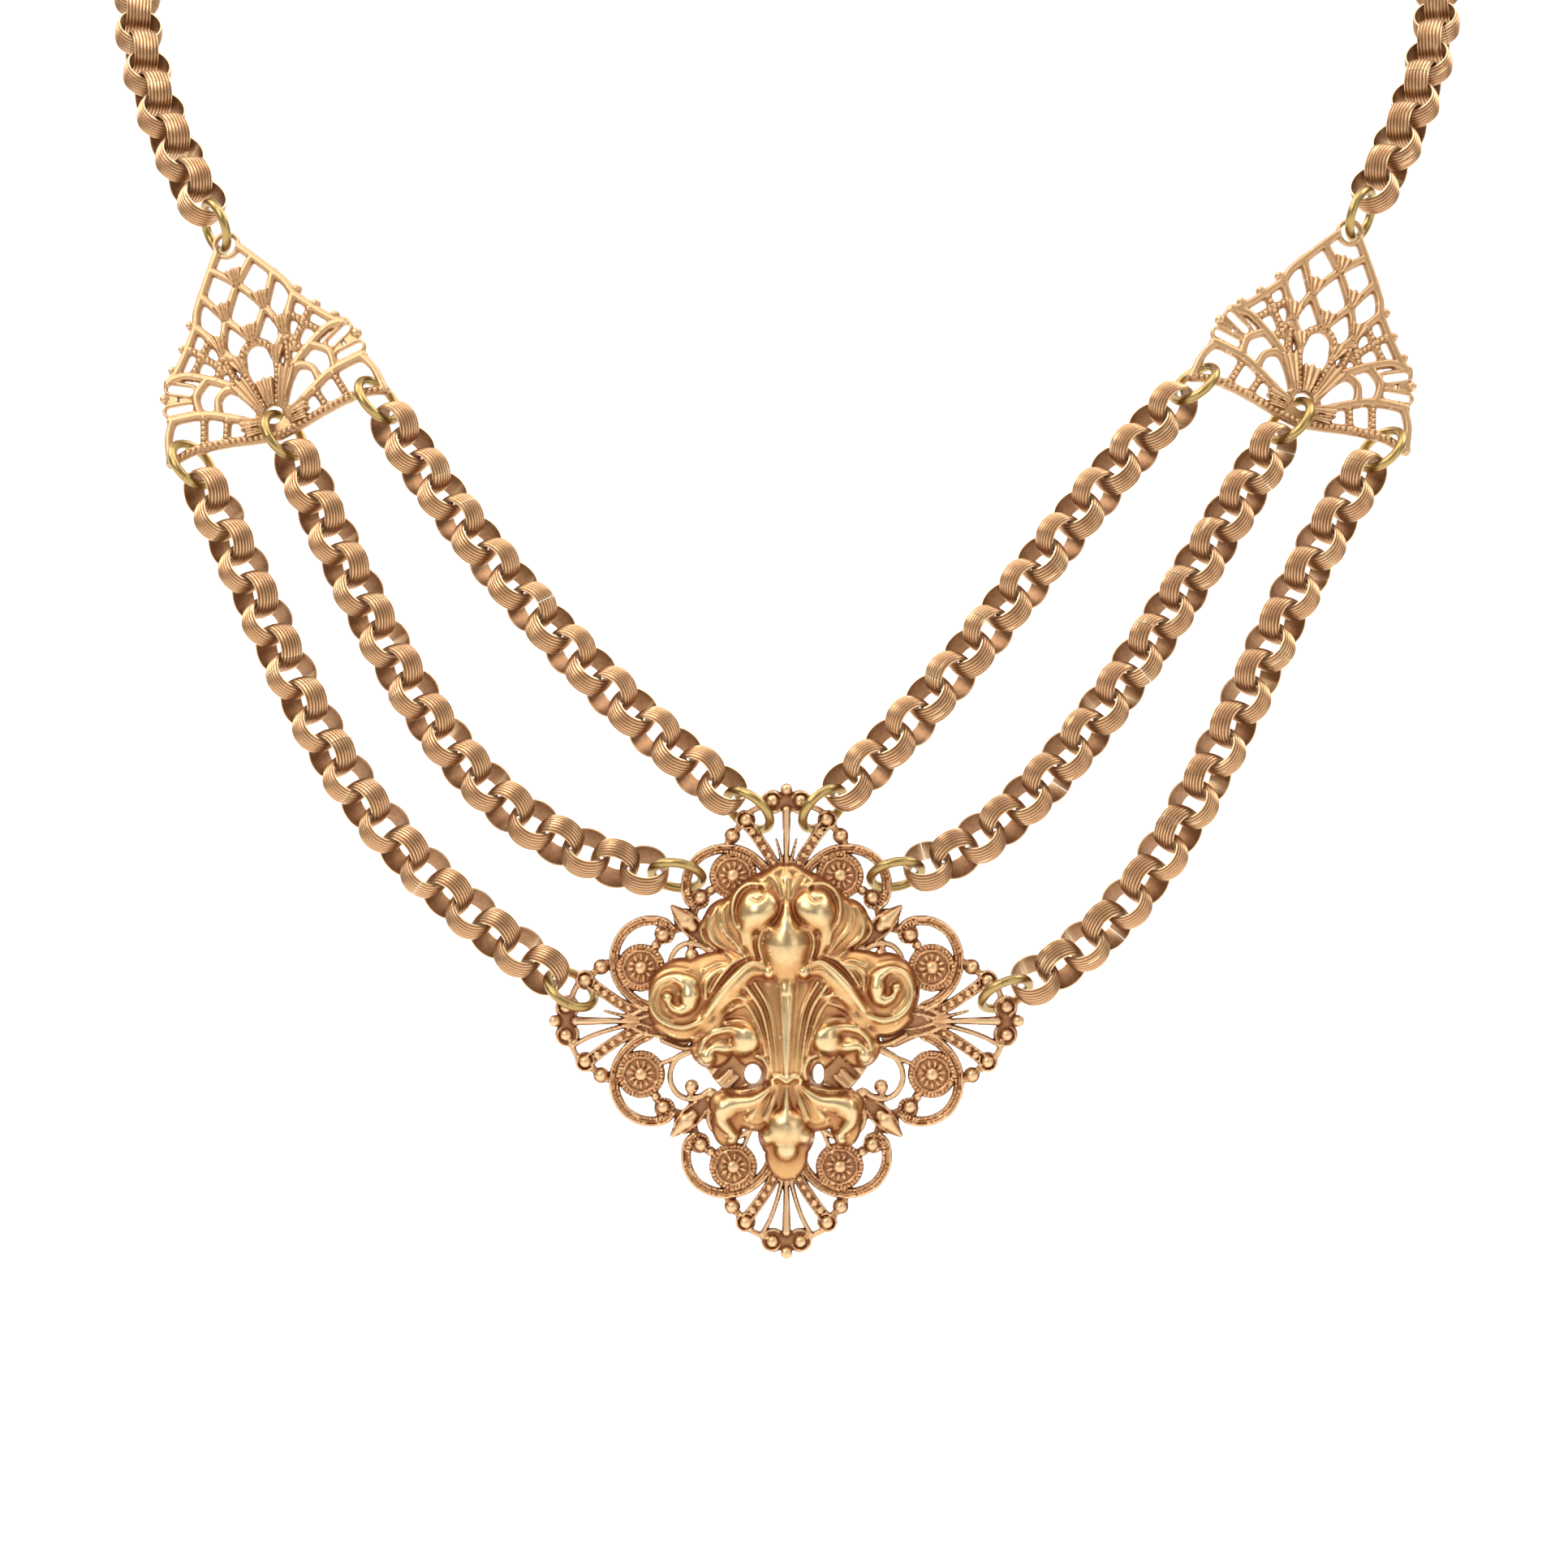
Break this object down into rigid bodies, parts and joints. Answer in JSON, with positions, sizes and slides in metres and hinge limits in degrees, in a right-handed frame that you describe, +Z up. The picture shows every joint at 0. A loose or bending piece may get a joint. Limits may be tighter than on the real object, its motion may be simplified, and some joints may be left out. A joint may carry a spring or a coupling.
{
  "type": "festoon necklace",
  "caption": "Festoon necklace: pierced diamond plate with a domed scroll boss, hung on ribbed rolo chain strands from pierced fan plates and a neck chain",
  "frame": {"origin": "the middle of the clasp ring at the nape of the neck", "axes": "+Z up when worn, the front of the necklace faces -Y, +X to the right of someone who looks at the front"},
  "size_m": [0.1688, 0.0966, 0.1786],
  "materials": {
    "chain": "antique rose gold plate, dark in the recesses",
    "filigree": "coppery rose gold plate, satin with bright edges",
    "boss": "worn yellow brass, coppery in the recesses",
    "ring": "plain olive yellow brass, satin"
  },
  "bodies": {
    "root": {"neck_chain_left": "chain", "neck_chain_right": "chain", "clasp": "ring", "strand_lower_left": "chain", "strand_middle_left": "chain", "strand_upper_left": "chain", "strand_upper_right": "chain", "strand_middle_right": "chain", "strand_lower_right": "chain", "fan_left": "filigree", "fan_right": "filigree", "filigree_plate": "filigree", "scroll_boss": "boss", "neck_ring_left": "ring", "neck_ring_right": "ring", "fan_ring_lower_left": "ring", "fan_ring_middle_left": "ring", "fan_ring_upper_left": "ring", "fan_ring_upper_right": "ring", "fan_ring_middle_right": "ring", "fan_ring_lower_right": "ring", "plate_ring_lower_left": "ring", "plate_ring_middle_left": "ring", "plate_ring_upper_left": "ring", "plate_ring_upper_right": "ring", "plate_ring_middle_right": "ring", "plate_ring_lower_right": "ring"}
  },
  "joints": []
}
